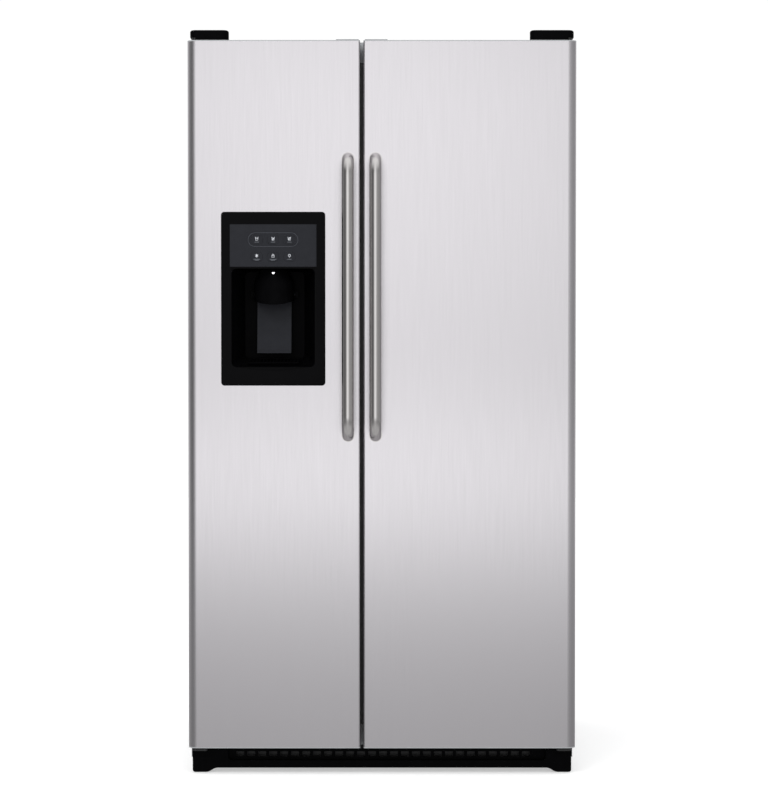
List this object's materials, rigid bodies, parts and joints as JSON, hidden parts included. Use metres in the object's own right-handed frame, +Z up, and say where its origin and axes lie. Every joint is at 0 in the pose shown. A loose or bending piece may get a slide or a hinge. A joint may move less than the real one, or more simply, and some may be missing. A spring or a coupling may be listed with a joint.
{
  "type": "side by side refrigerator",
  "caption": "Side by side refrigerator with stainless doors, tubular handles, an ice and water dispenser in the freezer door, and shelves, bins and drawers inside.",
  "frame": {"origin": "on the floor, at the middle of the overall width and of the overall depth with handles", "axes": "+Z up, +X to the right as seen from the front, +Y from the doors towards the back"},
  "size_m": [0.908, 0.842, 1.743],
  "materials": {
    "painted_steel": "textured grey enamel",
    "zinc_steel": "zinc plated",
    "black_steel": "black enamel",
    "foam": null,
    "white_liner": "moulded white, satin gloss",
    "black_plastic": "fine texture",
    "grey_plastic": "moulded grey",
    "aluminium_fins": "mill finish",
    "white_plastic": "moulded white",
    "foot_black": "black plated",
    "roller_plastic": "hard moulded",
    "coated_wire": "white vinyl coated wire",
    "shelf_glass": "tempered, clear",
    "clear_plastic": "clear moulding",
    "stainless": "fine vertical brushing, clear coat",
    "cap_grey": "fine texture",
    "gasket_rubber": "soft matt dark grey",
    "handle_steel": "satin polished tube",
    "black_gloss": "high gloss",
    "panel_grey": "satin dark grey"
  },
  "bodies": {
    "cabinet": {"cabinet_shell": "painted_steel", "rear_panels": "zinc_steel", "mullion_bar": "black_steel", "cabinet_insulation": "foam", "freezer_liner": "white_liner", "fresh_food_liner": "white_liner", "base_frame": "black_steel", "base_grille": "black_plastic", "cord_gland": "black_plastic", "compressor": "black_steel", "condenser_coil": "black_steel", "condenser_fan_motor": "grey_plastic", "evaporator_coil": "aluminium_fins", "evaporator_cover": "white_plastic", "door_hinges": "black_steel", "hinge_cover_left": "black_plastic", "hinge_cover_right": "black_plastic", "ice_maker": "white_plastic", "freezer_shelves": "coated_wire", "fresh_shelf_frames": "white_plastic", "shelf_glass": "shelf_glass", "crisper_frame": "white_plastic", "control_box": "white_plastic"},
    "freezer_door": {"freezer_door_skin": "stainless", "freezer_door_core": "foam", "freezer_door_liner": "white_liner", "freezer_door_caps": "cap_grey", "freezer_door_gasket": "gasket_rubber", "freezer_door_handle": "handle_steel", "freezer_door_bins": "clear_plastic", "dispenser_frame": "black_gloss", "dispenser_well": "black_plastic", "control_panel": "panel_grey", "dispenser_chute": "black_plastic"},
    "fresh_door": {"fresh_door_skin": "stainless", "fresh_door_core": "foam", "fresh_door_liner": "white_liner", "fresh_door_caps": "cap_grey", "fresh_door_gasket": "gasket_rubber", "fresh_door_handle": "handle_steel", "fresh_door_bins": "clear_plastic"},
    "body_condenser_fan": {"condenser_fan": "grey_plastic"},
    "body_levelling_leg_left": {"levelling_leg_left": "foot_black"},
    "body_levelling_leg_right": {"levelling_leg_right": "foot_black"},
    "body_rear_rollers": {"rear_rollers": "roller_plastic"},
    "body_ice_maker_arm": {"ice_maker_arm": "zinc_steel"},
    "body_ice_bucket": {"ice_bucket": "white_plastic"},
    "body_freezer_basket": {"freezer_basket": "white_plastic"},
    "body_crisper_upper": {"crisper_upper": "clear_plastic"},
    "body_crisper_lower": {"crisper_lower": "clear_plastic"},
    "body_dial_freezer": {"dial_freezer": "grey_plastic"},
    "body_dial_fresh_food": {"dial_fresh_food": "grey_plastic"},
    "body_dispenser_paddle": {"dispenser_paddle": "panel_grey"},
    "body_dairy_lid": {"dairy_lid": "clear_plastic"},
    "body_pad_water": {"pad_water": "panel_grey"},
    "body_pad_crushed": {"pad_crushed": "panel_grey"},
    "body_pad_cubed": {"pad_cubed": "panel_grey"},
    "body_pad_quick_ice": {"pad_quick_ice": "panel_grey"},
    "body_pad_lock": {"pad_lock": "panel_grey"},
    "body_pad_light": {"pad_light": "panel_grey"}
  },
  "joints": [
    {"name": "freezer_door_hinge", "type": "hinge", "parent": "cabinet", "child": "freezer_door", "pos_m": [-0.432, -0.337, 0.9], "axis": [0, 0, -1], "range_deg": [0, 125]},
    {"name": "fresh_door_hinge", "type": "hinge", "parent": "cabinet", "child": "fresh_door", "pos_m": [0.432, -0.337, 0.9], "axis": [0, 0, 1], "range_deg": [0, 125]},
    {"name": "ice_bucket_slide", "type": "slide", "parent": "cabinet", "child": "body_ice_bucket", "axis": [0, -1, 0], "range_m": [0, 0.2295]},
    {"name": "freezer_basket_slide", "type": "slide", "parent": "cabinet", "child": "body_freezer_basket", "axis": [0, -1, 0], "range_m": [0, 0.2295]},
    {"name": "crisper_upper_slide", "type": "slide", "parent": "cabinet", "child": "body_crisper_upper", "axis": [0, -1, 0], "range_m": [0, 0.2295]},
    {"name": "crisper_lower_slide", "type": "slide", "parent": "cabinet", "child": "body_crisper_lower", "axis": [0, -1, 0], "range_m": [0, 0.2295]},
    {"name": "condenser_fan_spin", "type": "hinge", "parent": "cabinet", "child": "body_condenser_fan", "pos_m": [-0.067, 0.285, 0.165], "axis": [1, 0, 0], "continuous": true},
    {"name": "rear_rollers_spin", "type": "hinge", "parent": "cabinet", "child": "body_rear_rollers", "pos_m": [0, 0.35, 0.025], "axis": [1, 0, 0], "continuous": true},
    {"name": "levelling_leg_left_screw", "type": "slide", "parent": "cabinet", "child": "body_levelling_leg_left", "axis": [0, 0, -1], "range_m": [0, 0.012]},
    {"name": "levelling_leg_right_screw", "type": "slide", "parent": "cabinet", "child": "body_levelling_leg_right", "axis": [0, 0, -1], "range_m": [0, 0.012]},
    {"name": "ice_maker_arm_lift", "type": "hinge", "parent": "cabinet", "child": "body_ice_maker_arm", "pos_m": [-0.27, -0.07, 1.6], "axis": [1, 0, 0], "range_deg": [0, 18]},
    {"name": "dial_freezer_turn", "type": "hinge", "parent": "cabinet", "child": "body_dial_freezer", "pos_m": [0.15, -0.148, 1.636], "axis": [0, 1, 0], "range_deg": [-135, 135]},
    {"name": "dial_fresh_food_turn", "type": "hinge", "parent": "cabinet", "child": "body_dial_fresh_food", "pos_m": [0.24, -0.148, 1.636], "axis": [0, 1, 0], "range_deg": [-135, 135]},
    {"name": "dispenser_paddle_press", "type": "hinge", "parent": "freezer_door", "child": "body_dispenser_paddle", "pos_m": [-0.2535, -0.295, 1.128], "axis": [1, 0, 0], "range_deg": [0, 9], "stiffness_Nm_per_rad": 0.5, "springref_deg": -5.73},
    {"name": "dairy_lid_lift", "type": "hinge", "parent": "fresh_door", "child": "body_dairy_lid", "pos_m": [0.199, -0.208, 1.591], "axis": [1, 0, 0], "range_deg": [0, 75]},
    {"name": "pad_water_press", "type": "slide", "parent": "freezer_door", "child": "body_pad_water", "axis": [0, 1, 0], "range_m": [0, 0.0008], "stiffness_N_per_m": 300},
    {"name": "pad_crushed_press", "type": "slide", "parent": "freezer_door", "child": "body_pad_crushed", "axis": [0, 1, 0], "range_m": [0, 0.0008], "stiffness_N_per_m": 300},
    {"name": "pad_cubed_press", "type": "slide", "parent": "freezer_door", "child": "body_pad_cubed", "axis": [0, 1, 0], "range_m": [0, 0.0008], "stiffness_N_per_m": 300},
    {"name": "pad_quick_ice_press", "type": "slide", "parent": "freezer_door", "child": "body_pad_quick_ice", "axis": [0, 1, 0], "range_m": [0, 0.0008], "stiffness_N_per_m": 300},
    {"name": "pad_lock_press", "type": "slide", "parent": "freezer_door", "child": "body_pad_lock", "axis": [0, 1, 0], "range_m": [0, 0.0008], "stiffness_N_per_m": 300},
    {"name": "pad_light_press", "type": "slide", "parent": "freezer_door", "child": "body_pad_light", "axis": [0, 1, 0], "range_m": [0, 0.0008], "stiffness_N_per_m": 300}
  ],
  "couplings": [
    {"joint": "ice_bucket_slide", "follows": "freezer_door_hinge", "m_per_rad": 0.105},
    {"joint": "freezer_basket_slide", "follows": "freezer_door_hinge", "m_per_rad": 0.105},
    {"joint": "crisper_upper_slide", "follows": "fresh_door_hinge", "m_per_rad": 0.105},
    {"joint": "crisper_lower_slide", "follows": "fresh_door_hinge", "m_per_rad": 0.105}
  ]
}
